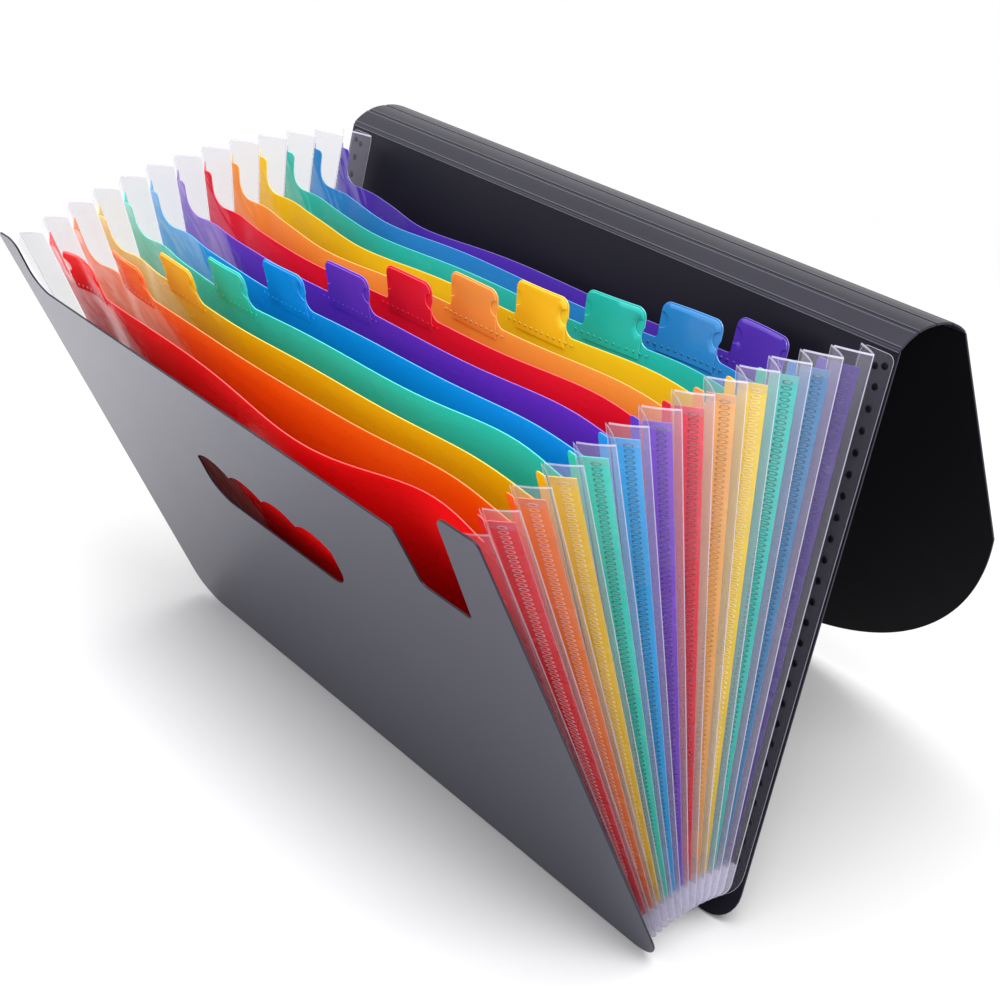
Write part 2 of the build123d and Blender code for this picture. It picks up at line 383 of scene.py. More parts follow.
# Painted shade: these weld marks are darkened.
MARK_PAINTED_SHADE = {"teal": 0.35, "blue": 0.35, "purple": 0.3, "rear_red": 0.4, "peach": 0.6,
              "green": 0.35, "rear_blue": 0.3, "rear_purple": 0.3}
SHEET = {}
SHEET_EDGE = {}
LABEL = {}
LABEL_EDGE = {}
STRIP = {}
MARK = {}
DOT = {}
for number, slot_name in enumerate(SLOTS, 1):
    colour = Vector(screen(*DIVIDER_COLOURS[slot_name]))
    sheet_top = on_sheet(lean_of(number), 0, SHEET_TOP, 0).z
    glare = GLARE.get(slot_name, GLARE_REST)
    SHEET[slot_name] = divider_finish(slot_name + "_sheet", colour, 0.0, SHEET_THROUGH, glare, sheet_top)
    SHEET_EDGE[slot_name] = divider_finish(slot_name + "_edge", colour, SHEET_EDGE_HIGHLIGHT, EDGE_THROUGH)
    LABEL[slot_name] = divider_finish(slot_name + "_label", colour, 0.0, SHEET_THROUGH)
    LABEL_EDGE[slot_name] = divider_finish(
        slot_name + "_label_edge", colour, LABEL_EDGE_HIGHLIGHT, EDGE_THROUGH)
    # The rear strips' colour carries a painted shade.
    strip_colour_with_shade = colour * STRIP_PAINTED_SHADE.get(slot_name, 1.0)
    STRIP[slot_name] = divider_finish(slot_name + "_strip", strip_colour_with_shade, 0.0, STRIP_THROUGH)
    if slot_name in DOT_SHADE:
        DOT[slot_name] = divider_finish(slot_name + "_dot", colour * DOT_SHADE[slot_name], 0.0, 0.1)
    else:
        DOT[slot_name] = SHEET[slot_name]
    # Weld marks: dark ones take a painted shade, the rest a painted highlight.
    if slot_name in MARK_PAINTED_SHADE:
        MARK[slot_name] = divider_finish(slot_name + "_weld", colour * MARK_PAINTED_SHADE[slot_name], 0.0, 0.2)
    else:
        MARK[slot_name] = divider_finish(slot_name + "_weld", colour, MARK_HIGHLIGHT, STRIP_THROUGH)
print("divider finishes", len(SHEET))

# %% [markdown]
# ## The film
#
# The pleats are frosted film, see-through under a milky haze. A refracting shader could make it, but a
# sight line passes dozens of these thin walls, so a part-clear surface is quicker and as true. The haze
# differs: the film turns clear where a coloured strip is welded to it, and stays hazy where it is loose,
# at the rims and where the foot's corners are pressed. The loose film is grey, partly a painted shade
# for film lying in shade, and the rims and folds are whiter, partly a painted highlight along each fold.

# %% Frosted film
FILM_TINT = (0.86, 0.83, 1.0)


def film_finish(name, haze, rough, milk):
    """Frosted film: mostly see-through, with a milky haze and a soft gloss."""
    finish, tree, shader = new_finish(name)
    put(shader, "Base Color", (*(milk * part for part in FILM_TINT), 1))
    put(shader, "Alpha", haze)
    patchy = noise(tree, scale=70.0, detail=3.0)
    put(shader, "Roughness", spread_value(tree, patchy, rough * 0.8, rough * 1.3))
    return finish


# Name, haze, roughness and milk
FILM = film_finish("frosted_film", 0.16, 0.22, 0.54)
FILM_MIDDLE = film_finish("film_middle", 0.06, 0.2, 0.64)
FILM_WELDED = film_finish("welded_film", 0.045, 0.16, 0.64)
FILM_CORNER = film_finish("film_corner", 0.22, 0.25, 0.92)
# Painted highlight: folds and rims are whiter and hazier, for the bright line along each fold.
FILM_EDGE_HIGHLIGHT = film_finish("film_edge", 0.4, 0.3, 0.95)
# Partly painted shade: the loose film's milk is grey, for film lying in shade.
LOOSE_FILM_SHADED = film_finish("loose_film", 0.16, 0.2, 0.5)
FILM_REAR = film_finish("rear_film", 0.04, 0.16, 0.8)
FILM_BAND = film_finish("film_band", 0.03, 0.35, 0.7)
print("film finishes made")

# %% [markdown]
# ## A helper for thin sheets
#
# Covers, dividers, labels, strips and the flap are all cut from flat stock and then bend a little.
# The outline is drawn flat with its corners turned by arcs, filled with small even triangles, and each
# point is then placed on the leaning sheet with a bow. Small triangles let a sheet bend smoothly,
# which one large flat face could not do.

# %% Outline helpers
TURN_STEP = math.radians(12)
ARC_STEP = 3.0
LEAST_STEPS = 3


def arc_steps(sweep, radius):
    """How many pieces an arc is drawn with."""
    return max(LEAST_STEPS, round(sweep / TURN_STEP), round(sweep * radius / ARC_STEP))


def rounded(corners):
    """Points of an outline, anticlockwise, whose (x, y, radius) corners are turned with arcs."""
    points = []
    for i, (x, y, radius) in enumerate(corners):
        corner = Vector((x, y))
        before = (Vector(corners[i - 1][:2]) - corner).normalized()
        after = (Vector(corners[(i + 1) % len(corners)][:2]) - corner).normalized()
        if radius == 0:
            points.append(corner)
            continue
        half = before.angle(after) / 2
        middle = corner + (before + after).normalized() * (radius / math.sin(half))
        start = corner + before * (radius / math.tan(half)) - middle
        end = corner + after * (radius / math.tan(half)) - middle
        sweep = start.angle_signed(end)
        steps = arc_steps(abs(sweep), radius)
        for j in range(steps + 1):
            points.append(middle + Matrix.Rotation(-sweep * j / steps, 2) @ start)
    return points


def arc(centre, radius, start, end):
    """Points along an arc between two angles in degrees."""
    steps = arc_steps(abs(math.radians(end - start)), radius)
    angles = [math.radians(start + (end - start) * j / steps) for j in range(steps + 1)]
    return [Vector((centre[0] + radius * math.cos(a), centre[1] + radius * math.sin(a))) for a in angles]


def divided(points, step):
    """The same outline with no edge longer than a step."""
    result = []
    for i, point in enumerate(points):
        nearest = points[(i + 1) % len(points)]
        count = max(1, math.ceil((nearest - point).length / step))
        result += [point.lerp(nearest, j / count) for j in range(count)]
    return result


def drawn_in(points, depth):
    """The outline moved inwards, for an anticlockwise outline or a clockwise hole."""
    moved = []
    for i, point in enumerate(points):
        before = (point - points[i - 1]).normalized()
        after = (points[(i + 1) % len(points)] - point).normalized()
        way = (before + after).normalized()
        moved.append(point + Vector((-way.y, way.x)) * depth)
    return moved


def inside(spots, ring):
    """Which spots lie inside a ring, as an array of True and False."""
    x, y = spots[:, 0], spots[:, 1]
    found = np.zeros(len(spots), bool)
    for a, b in zip(ring, ring[1:] + ring[:1]):
        if a.y == b.y:
            continue
        crosses = (a.y > y) != (b.y > y)
        found ^= crosses & (x < (b.x - a.x) * (y - a.y) / (b.y - a.y) + a.x)
    return found


def within(spots, rings):
    """Which spots lie inside the outline and outside its holes."""
    found = inside(spots, rings[0])
    for hole in rings[1:]:
        found &= ~inside(spots, hole)
    return found


print("outline helpers ready, a full turn has", arc_steps(2 * math.pi, COVER_CORNER), "steps")

# %% Sheet helper
EDGE_ROUND = 0.12
EDGE_CLEAR = 0.6
FILL_INSIDE = 1
FILL_NEAR = 1e-5
SHEET_SHARP = math.radians(50)


def filling(rings, cell):
    """Even points inside the outline, outside the holes and clear of both."""
    edge = np.array([tuple(p) for ring in rings for p in ring])
    low, high = edge.min(0), edge.max(0)
    row = cell * math.sqrt(0.75)
    spots = np.array([
        (low[0] + (i + (j % 2) / 2) * cell, low[1] + j * row)
        for j in range(int((high[1] - low[1]) / row) + 1)
        for i in range(int((high[0] - low[0]) / cell) + 2)
    ])
    spots = spots[within(spots, rings)]
    gap = np.array([np.min(np.hypot(edge[:, 0] - x, edge[:, 1] - y)) for x, y in spots])
    return [Vector(tuple(p)) for p in spots[gap > cell * EDGE_CLEAR]]


def piece_from(name, places, faces, kinds, finishes):
    """A mesh object at the origin from points, faces and the finish of each face."""
    mesh = bpy.data.meshes.new(name)
    mesh.from_pydata([tuple(p) for p in places], [], faces)
    for finish in finishes:
        mesh.materials.append(finish)
    mesh.polygons.foreach_set("material_index", kinds)
    mesh.polygons.foreach_set("use_smooth", [True] * len(mesh.polygons))
    mesh.set_sharp_from_angle(angle=SHEET_SHARP)
    mesh.update()
    piece = bpy.data.objects.new(name, mesh)
    bpy.context.collection.objects.link(piece)
    return piece


def sheet_piece(name, rings, cell, thick, spot, finish, edge_finish, rear_finish=None):
    """A thin sheet with two faces and a rounded edge. spot(x, s, w) places its points."""
    rings = [divided(ring, cell) for ring in rings]
    flat, links = [], []
    for ring in rings:
        first = len(flat)
        flat += drawn_in(ring, EDGE_ROUND)
        links += [(first + i, first + (i + 1) % len(ring)) for i in range(len(ring))]
    flat += filling(rings, cell)
    points, _, triangles, origins, _, _ = delaunay_2d_cdt(flat, links, [], FILL_INSIDE, FILL_NEAR)
    found = {origin: i for i, ids in enumerate(origins) for origin in ids}
    centres = np.array([tuple(sum((points[i] for i in t), Vector((0, 0))) / 3) for t in triangles])
    triangles = [t for t, good in zip(triangles, within(centres, rings)) if good]
    half = thick / 2
    count = len(points)
    places = [spot(p.x, p.y, half) for p in points] + [spot(p.x, p.y, -half) for p in points]
    faces = [tuple(t) for t in triangles] + [tuple(count + i for i in reversed(t)) for t in triangles]
    kinds = [0] * len(triangles) + [2 if rear_finish else 0] * len(triangles)
    first = 0
    for ring in rings:
        base = len(places)
        places += [spot(p.x, p.y, 0) for p in ring]
        for i in range(len(ring)):
            j = (i + 1) % len(ring)
            front_i, front_j = found[first + i], found[first + j]
            faces.append((base + i, base + j, front_j, front_i))
            faces.append((count + front_i, count + front_j, base + j, base + i))
            kinds += [1, 1]
        first += len(ring)
    finishes = [finish, edge_finish] + ([rear_finish] if rear_finish else [])
    return piece_from(name, places, faces, kinds, finishes)


def settle(piece, body, slot_name, *nodes):
    """The piece rides a body and stands for CAD nodes; the slot name is not used."""
    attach(piece, body)
    if nodes:
        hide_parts(*nodes)


print("sheet helper ready")

# %% [markdown]
# ## The front cover
#
# One stiff panel with an ear at each end, a long lower top edge, a notch beside the right ear
# and a handle hole with four finger lobes. It could be cut from a block with booleans, but drawing the
# outline keeps every corner's radius a number. The lobes follow a rule, so they are drawn as equal arcs.

# %% Front cover
EAR_DROP = 27.0
RIGHT_EAR = 21.0
LEFT_EAR_FOOT = 12.0
LEFT_EAR_TOP = 15.0
LEFT_EAR_SWEEP = 10.0
NOTCH_TOP = 37.0
NOTCH_FOOT = 27.5
NOTCH_INSET = 27.5
NOTCH_DEPTH = 26.0
EAR_ROUND = 5.0
SMALL_ROUND = 3.0
GRIP_LOBES = 4
GRIP_PITCH = 24.4
GRIP_RISE = 4.4
GRIP_FOOT = 130.0
GRIP_SHOULDER = 22.0
GRIP_ROUND = 12.0
GRIP_OFFSET = 9.2
COVER_CELL = 7.0
FRONT = lean_of(0)
BACK = lean_of(POCKETS)


def grip_hole():
    """Handle hole, clockwise: lobes along the top, round lower corners."""
    left = -GRIP_OFFSET - GRIP_PITCH * GRIP_LOBES / 2
    right = left + GRIP_PITCH * GRIP_LOBES
    cusp = GRIP_FOOT + GRIP_SHOULDER
    half = GRIP_PITCH / 2
    radius = (half ** 2 + GRIP_RISE ** 2) / (2 * GRIP_RISE)
    spread = math.degrees(math.asin(half / radius))
    points = []
    for i in range(GRIP_LOBES):
        centre = (left + (i + 0.5) * GRIP_PITCH, cusp + GRIP_RISE - radius)
        points += arc(centre, radius, 90 + spread, 90 - spread)[:-1]
    points.append(Vector((right, cusp)))
    points += arc((right - GRIP_ROUND, GRIP_FOOT + GRIP_ROUND), GRIP_ROUND, 0, -90)
    points += arc((left + GRIP_ROUND, GRIP_FOOT + GRIP_ROUND), GRIP_ROUND, -90, -180)
    return points


def front_spot(x, s, w):
    """Placing rule for the front cover."""
    return on_sheet(FRONT, x, s, w + COVER_THICK / 2, cover_root(FRONT))


long_edge = COVER_HEIGHT - EAR_DROP
front_outline = rounded([
    (-HALF_WIDTH, 0, COVER_CORNER),
    (HALF_WIDTH, 0, COVER_CORNER),
    (HALF_WIDTH, COVER_HEIGHT, SMALL_ROUND),
    (HALF_WIDTH - RIGHT_EAR, COVER_HEIGHT, EAR_ROUND),
    (HALF_WIDTH - NOTCH_INSET, long_edge - NOTCH_DEPTH, SMALL_ROUND),
    (HALF_WIDTH - NOTCH_INSET - NOTCH_FOOT, long_edge - NOTCH_DEPTH, SMALL_ROUND),
    (HALF_WIDTH - RIGHT_EAR - NOTCH_TOP, long_edge, SMALL_ROUND),
    (-HALF_WIDTH + LEFT_EAR_FOOT, long_edge, LEFT_EAR_SWEEP),
    (-HALF_WIDTH + LEFT_EAR_TOP, COVER_HEIGHT, EAR_ROUND),
    (-HALF_WIDTH, COVER_HEIGHT, SMALL_ROUND),
])
front_cover = sheet_piece(
    "front_cover_panel", [front_outline, grip_hole()], COVER_CELL, COVER_THICK, front_spot,
    COVER_OUTSIDE, COVER_EDGE, COVER_INSIDE)
settle(front_cover, "front_cover", "cover_black", "front_cover")
print("front cover", len(front_cover.data.polygons), "faces")

# %% [markdown]
# ## The back cover, spine and flap
#
# Behind the pockets one long sheet runs up the back, over a spine of four strips and down as the flap.
# One bent sheet could not fold where the real one does, so each strip is a piece of its own that starts
# at a fold line. The strips are a little crowned across, which gives each its own line of light.

# %% Back cover
back_outline = rounded([
    (-HALF_WIDTH, 0, COVER_CORNER),
    (HALF_WIDTH, 0, COVER_CORNER),
    (HALF_WIDTH, BACK_HEIGHT, 0),
    (-HALF_WIDTH, BACK_HEIGHT, 0),
])


def back_spot(x, s, w):
    """Placing rule for the back cover."""
    return on_sheet(BACK, x, s, w - COVER_THICK / 2, cover_root(BACK))


back_cover = sheet_piece(
    "back_cover_panel", [back_outline], COVER_CELL, COVER_THICK, back_spot,
    COVER_INSIDE, COVER_EDGE, COVER_OUTSIDE)
settle(back_cover, "back_cover", "cover_black", "back_cover")
print("back cover", len(back_cover.data.polygons), "faces")

# %% Spine strips and flap
STRIP_PITCH = 9.5
STRIP_BULGE = 0.45
STRIP_CELL = 2.4
SCORE_GAP = 0.8
FOLD_TOTAL = 145.2
FOLD_SHARES = (0.331, 0.165, 0.110, 0.152, 0.242)
FLAP_SIDE = 104.0
FLAP_LENGTH = 231.0
STRIP_LOW = SCORE_GAP / 2
STRIP_HIGH = STRIP_PITCH - SCORE_GAP / 2


def run_of(lean):
    """The way up a leaning sheet."""
    return Vector((0, math.sin(lean), math.cos(lean)))


def strip_spot(line, bulge=0.0):
    """Placing rule for a piece that starts at a fold line."""
    turn, start = line
    facing = sheet_normal(turn)

    def spot(x, s, w):
        crown = bulge * math.sin(math.pi * min(max(s / STRIP_PITCH, 0), 1))
        return start + (Vector((x, 0, 0)) + run_of(turn) * s + facing * (w + crown)) * MM
    return spot


spine_bodies = ["back_cover", "spine_strip_1", "spine_strip_2", "spine_strip_3", "spine_strip_4", "flap"]
fold_lines = []
lean = BACK
at = back_spot(0, BACK_HEIGHT + SCORE_GAP / 2, 0)
for share in FOLD_SHARES:
    lean += math.radians(FOLD_TOTAL * share)
    fold_lines.append((lean, at))
    at = at + run_of(lean) * STRIP_PITCH * MM

strip_outline = [Vector((-HALF_WIDTH, STRIP_LOW)), Vector((HALF_WIDTH, STRIP_LOW)),
                 Vector((HALF_WIDTH, STRIP_HIGH)), Vector((-HALF_WIDTH, STRIP_HIGH))]
for number, line in enumerate(fold_lines[:-1], 1):
    strip = sheet_piece(
        f"spine_panel_{number}", [strip_outline], STRIP_CELL, COVER_THICK, strip_spot(line, STRIP_BULGE),
        SPINE_FACE, COVER_EDGE, COVER_OUTSIDE)
    settle(strip, f"spine_strip_{number}", "cover_black", f"spine_strip_{number}")

flap_round = FLAP_LENGTH - FLAP_SIDE
flap_radius = (HALF_WIDTH ** 2 + flap_round ** 2) / (2 * flap_round)
flap_centre = (0, FLAP_LENGTH - flap_radius)
flap_angle = math.degrees(math.atan2(FLAP_SIDE - flap_centre[1], HALF_WIDTH))
flap_outline = [Vector((-HALF_WIDTH, STRIP_LOW)), Vector((HALF_WIDTH, STRIP_LOW))]
flap_outline += arc(flap_centre, flap_radius, flap_angle, 180 - flap_angle)
# The flap's outer face takes the near-black painted shade.
flap = sheet_piece(
    "flap_panel", [flap_outline], COVER_CELL, COVER_THICK, strip_spot(fold_lines[-1]),
    COVER_INSIDE, COVER_EDGE, FLAP_SHADE_AND_DIMPLES)
settle(flap, "flap", "cover_black", "flap")
print("spine strips", len(fold_lines) - 1)

# %% [markdown]
# ## The score lines
#
# At a score line the plastic is pressed thin so that it folds. It could be left as an open gap, but the
# gap would show, so a narrow web bends between the two strips: one end lies along the first, the other
# along the second. A rib runs beside each score.

# %% Score lines
SCORE_STEPS = 6
SCORE_THICK = 0.45
SCORE_REACH = SCORE_GAP * 0.75
SCORE_INSET = 0.2
for number, (turn, start) in enumerate(fold_lines):
    before = BACK if number == 0 else fold_lines[number - 1][0]
    first = start - run_of(before) * SCORE_REACH * MM
    last = start + run_of(turn) * SCORE_REACH * MM
    places, faces = [], []
    for side in (-1, 1):
        for j in range(SCORE_STEPS + 1):
            t = j / SCORE_STEPS
            middle = first.lerp(start, t).lerp(start.lerp(last, t), t)
            facing = sheet_normal(before + (turn - before) * t)
            across = Vector((side * (HALF_WIDTH - SCORE_INSET) * MM, 0, 0))
            for layer in (-1, 1):
                places.append(middle + facing * layer * SCORE_THICK / 2 * MM + across)
    ring = 2 * (SCORE_STEPS + 1)
    for j in range(SCORE_STEPS):
        a, b = 2 * j, 2 * j + 2
        faces.append((a, b, ring + b, ring + a))
        faces.append((a + 1, ring + a + 1, ring + b + 1, b + 1))
        faces.append((a, a + 1, b + 1, b))
        faces.append((ring + a, ring + b, ring + b + 1, ring + a + 1))
    faces.append((0, ring, ring + 1, 1))
    faces.append((ring - 2, ring - 1, 2 * ring - 1, 2 * ring - 2))
    score = piece_from(f"score_line_{number + 1}", places, faces, [0] * len(faces), [SPINE_FACE])
    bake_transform(score)
    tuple(first)
    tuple(last)
print("score lines", len(fold_lines))

# %% Ribs beside the scores
RIB_WIDE = 0.5
RIB_RISE = 0.22
RIB_ROOT = 0.2
RIB_AT = 0.55
RIB_STEPS = 6
RIB_INSET = 0.3


def score_rib(name, spot, s, body):
    """A low round rib pressed up beside a score line."""
    turns = [math.pi * j / RIB_STEPS for j in range(RIB_STEPS + 1)]
    section = [(s + RIB_WIDE / 2 * math.cos(a), RIB_RISE * math.sin(a)) for a in turns]
    section += [(s - RIB_WIDE / 2, -RIB_ROOT), (s + RIB_WIDE / 2, -RIB_ROOT)]
    count = len(section)
    ends = (HALF_WIDTH - RIB_INSET, -HALF_WIDTH + RIB_INSET)
    places = [spot(x, a, COVER_THICK / 2 + w) for x in ends for a, w in section]
    faces = [(i, (i + 1) % count, count + (i + 1) % count, count + i) for i in range(count)]
    faces += [tuple(range(count - 1, -1, -1)), tuple(range(count, 2 * count))]
    # The rib's pale finish is a painted highlight.
    rib = piece_from(name, places, faces, [0] * len(faces), [RIB_PAINTED_HIGHLIGHT])
    settle(rib, body, "cover_black")


for number, line in enumerate(fold_lines):
    spot = strip_spot(fold_lines[number - 1]) if number else back_spot
    edge = STRIP_HIGH if number else BACK_HEIGHT
    score_rib(f"score_rib_{number + 1}_a", spot, edge - RIB_AT, spine_bodies[number])
    spot = strip_spot(line)
    score_rib(f"score_rib_{number + 1}_b", spot, STRIP_LOW + RIB_AT, spine_bodies[number + 1])
print("ribs", 2 * len(fold_lines))

# %% [markdown]
# ## The dividers
#
# Each divider is a thin sheet with a stepped tab and a small ear at each end. The sheets are held at
# their ends and spring about in between, so each has its own bow: forward over one stretch, back near
# the right end. Cloth physics could bend them, but a sum of smooth humps gives the same bow every run.
# The bow grows from nothing at the foot.

# %% Divider shapes
DIVIDER_THICK = 0.4
DIVIDER_TOP = 210.0
DIVIDER_FOOT = 24.0
DIVIDER_CORNER = 11.0
DIVIDER_CELL = 6.0
TAB_WIDTH = 28.2
TAB_HEIGHT = 15.0
TAB_ROUND = 4.0
TAB_TOP = DIVIDER_TOP + TAB_HEIGHT
TAB_WAIST = 0.9
WAIST_TOP = 7.5
WAIST_FOOT = 5.5
EAR_WIDTH = 5.6
EAR_TIP = 2.0
STEP_ROUND = 4.0
TIGHT_ROUND = 1.4
FINE_ROUND = 0.8
EAR_SWEEP = 8.0
FIRST_GAP = 3.2
LAST_GAP = 15.6
FIRST_TAB = -INNER_HALF + EAR_WIDTH + FIRST_GAP
LAST_TAB = INNER_HALF - EAR_WIDTH - LAST_GAP - TAB_WIDTH

# Forward bow, where it peaks, how wide it is, and the set back near the right end, in millimetres
DIVIDER_BOWS = [
    (6.0, 45, 55, 7.0),
    (1.0, -15, 45, 4.0),
    (2.0, -40, 40, 3.0),
    (3.0, -60, 40, 6.0),
    (3.0, -50, 45, 3.5),
    (2.0, -60, 40, 5.0),
    (4.0, -62, 45, 6.0),
    (6.5, -62, 38, 5.0),
    (7.0, -58, 36, 7.0),
    (7.0, -66, 38, 7.5),
    (7.5, -76, 30, 8.0),
    (11.5, -66, 32, 7.0),
]
RIGHT_SET = 108
RIGHT_WIDTH = 38
LEFT_SET = -128
LEFT_BACK = 3.0
LEFT_WIDTH = 14
HELD_POWER = 8
RISE_POWER = 1.5


def hump(x, centre, width):
    """A smooth rise to 1 at a centre."""
    return math.exp(-((x - centre) / width) ** 2)


def bow_of(number):
    """How far a divider stands forward of flat at (x, s)."""
    rise, centre, width, back = DIVIDER_BOWS[number - 1]

    def bow(x, s):
        held = max(0.0, 1 - (abs(x) / INNER_HALF) ** HELD_POWER)
        height = max(0.0, s - DIVIDER_FOOT) / (DIVIDER_TOP - DIVIDER_FOOT)
        along = rise * hump(x, centre, width) - back * hump(x, RIGHT_SET, RIGHT_WIDTH)
        along -= LEFT_BACK * hump(x, LEFT_SET, LEFT_WIDTH)
        return along * held * height ** RISE_POWER
    return bow


def tab_left(number):
    """The left edge of a divider's tab. The tabs step evenly from left to right."""
    return FIRST_TAB + (LAST_TAB - FIRST_TAB) * (number - 1) / (POCKETS - 2)


def divider_outline(number):
    """A divider with an ear at each end and a tab, drawn in on the right below the thumb notch."""
    left = tab_left(number)
    right = left + TAB_WIDTH
    waist = right - TAB_WAIST
    ear = INNER_HALF - EAR_WIDTH
    return rounded([
        (-INNER_HALF, DIVIDER_FOOT, DIVIDER_CORNER),
        (INNER_HALF, DIVIDER_FOOT, DIVIDER_CORNER),
        (INNER_HALF, TAB_TOP, FINE_ROUND),
        (ear, TAB_TOP, EAR_TIP),
        (ear, DIVIDER_TOP, STEP_ROUND),
        (waist, DIVIDER_TOP, STEP_ROUND),
        (waist, DIVIDER_TOP + WAIST_FOOT, FINE_ROUND),
        (right, DIVIDER_TOP + WAIST_TOP, FINE_ROUND),
        (right, TAB_TOP, TAB_ROUND),
        (left, TAB_TOP, TAB_ROUND),
        (left, DIVIDER_TOP, TIGHT_ROUND),
        (-ear, DIVIDER_TOP, TIGHT_ROUND if number == 1 else EAR_SWEEP),
        (-ear, TAB_TOP, EAR_TIP),
        (-INNER_HALF, TAB_TOP, FINE_ROUND),
    ])


def divider_spot(number, lift=0.0):
    """Placing rule for a bowed divider, or for a layer lifted off its face."""
    bow = bow_of(number)
    turn = lean_of(number)
    return lambda x, s, w: on_sheet(turn, x, s, w + lift + bow(x, s))


def press_flat(piece, place):
    """Gives the piece a mesh of its own."""
    turn = lean_of(place)
    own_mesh(piece)


print("tab step", round(tab_left(2) - tab_left(1), 1), "mm")

# %% Dividers
for number, slot_name in enumerate(SLOTS, 1):
    divider = sheet_piece(
        f"divider_sheet_{number:02d}", [divider_outline(number)], DIVIDER_CELL, DIVIDER_THICK,
        divider_spot(number), SHEET[slot_name], SHEET_EDGE[slot_name])
    settle(divider, f"divider_{number:02d}", slot_name, f"divider_{number:02d}")
    press_flat(divider, number)
print("dividers", len(SLOTS))

# %% [markdown]
# ## The label pockets
#
# A second layer is welded over each tab, with a half-round thumb notch in each side for pushing a card
# in. It could be drawn on the tab as a line, but its edge catches the light, so it is a thin sheet of
# its own that follows the divider's bow.

# %% Label pockets
LABEL_THICK = 0.3
LABEL_INSET = 0.6
LABEL_TAIL = 5.0
LABEL_GAP = 0.2
LABEL_CELL = 2.5
THUMB_RADIUS = 3.2
label_lift = DIVIDER_THICK / 2 + LABEL_GAP + LABEL_THICK / 2


def label_outline(number):
    """The layer over a tab, with a thumb notch in each side."""
    left = tab_left(number) + LABEL_INSET
    right = left + TAB_WIDTH - 2 * LABEL_INSET
    top = TAB_TOP - LABEL_INSET
    foot = DIVIDER_TOP - LABEL_TAIL
    middle = DIVIDER_TOP + TAB_HEIGHT / 2
    reach = TAB_ROUND - LABEL_INSET
    points = [Vector((left, foot)), Vector((right, foot))]
    points += arc((right, middle), THUMB_RADIUS, 270, 90)
    points += arc((right - reach, top - reach), reach, 0, 90)
    points += arc((left + reach, top - reach), reach, 90, 180)
    points += arc((left, middle), THUMB_RADIUS, 90, -90)
    return points


for number, slot_name in enumerate(SLOTS, 1):
    label = sheet_piece(
        f"label_layer_{number:02d}", [label_outline(number)], LABEL_CELL, LABEL_THICK,
        divider_spot(number, label_lift), LABEL[slot_name], LABEL_EDGE[slot_name])
    settle(label, f"divider_{number:02d}", slot_name, f"label_pocket_{number:02d}")
    press_flat(label, number)
print("label layers", len(SLOTS))

# %% [markdown]
# ## The pleated film
#
# Each pocket is closed down both sides and across its foot by one pleat of frosted film, folded like a
# paper fan. A pleat is drawn as stations along its run. At each station three points are known: the fold
# on the sheet in front, the outer fold halfway to the next sheet, and the fold on the sheet behind.
# At the foot's corners the inner fold turns sharply and the outer fold comes round in a wide arc, as the
# film cannot be creased both ways. A grid of faces over the stations keeps every fold a clean line.

# %% Pleat stations
FILM_THICK = 0.2
FILM_TOP = 231.0
FILM_FOOT = 7.0
FOLD_GAP = 0.8
FILM_CLEAR = 0.4
INNER_ROUND = 1.5
OUTER_ROUND = 11.0
CORNER_STEPS = 14
FOOT_STEPS = 8
RIM_WIDTH = 0.7
SIDE_ROWS = 26
QUARTER = math.pi / 2
FILM_BEND = DIVIDER_FOOT + INNER_ROUND


def pleat_run(top):
    """Stations (inner x, inner s, outer x, outer s) of the right half, down to the foot's middle."""
    rim = top - RIM_WIDTH
    heights = [top, rim] + [rim + (FILM_BEND - rim) * j / SIDE_ROWS for j in range(1, SIDE_ROWS + 1)]
    run = [(INNER_HALF, s, OUTER_HALF, s) for s in heights]
    corner = INNER_HALF - INNER_ROUND
    drop = FILM_BEND - FILM_FOOT - OUTER_ROUND
    reach = OUTER_HALF - OUTER_ROUND - corner
    curve = QUARTER * OUTER_ROUND
    for j in range(1, CORNER_STEPS + 1):
        a = QUARTER * j / CORNER_STEPS
        gone = (drop + curve + reach) * j / CORNER_STEPS
        outer_turn = min(max((gone - drop) / OUTER_ROUND, 0), QUARTER)
        outer_x = OUTER_HALF - OUTER_ROUND * (1 - math.cos(outer_turn)) - max(gone - drop - curve, 0)
        outer_s = FILM_BEND - min(gone, drop) - OUTER_ROUND * math.sin(outer_turn)
        inner_x = corner + INNER_ROUND * math.cos(a)
        inner_s = FILM_BEND - INNER_ROUND * math.sin(a)
        run.append((inner_x, inner_s, outer_x, outer_s))
    for j in range(1, FOOT_STEPS + 1):
        x = corner * (1 - j / FOOT_STEPS)
        run.append((x, DIVIDER_FOOT, x, FILM_FOOT))
    return run


def whole_run(top):
    """Stations from the top of the right side round to the top of the left side."""
    half = pleat_run(top)
    return half + [(-a, b, -c, d) for a, b, c, d in reversed(half[:-1])]


def pleat_folds(pocket, station):
    """Front fold, outer fold and rear fold of a pocket's film at one station."""
    x, s, outer_x, outer_s = station
    reach = math.hypot(outer_x - x, outer_s - s)
    start_x = x + FOLD_GAP * (outer_x - x) / reach
    start_s = s + FOLD_GAP * (outer_s - s) / reach
    start = on_sheet(lean_of(pocket - 1), start_x, start_s, 0)
    if pocket == 1:
        start = on_sheet(FRONT, start_x, start_s, -FILM_THICK - FILM_CLEAR)
    rear = FILM_THICK if pocket == POCKETS else DIVIDER_THICK / 2
    end = on_sheet(lean_of(pocket), x, s, rear + FILM_CLEAR)
    return start, on_sheet(lean_of(pocket - 0.5), outer_x, outer_s, 0), end


print("stations along a pleat", len(whole_run(FILM_TOP)))

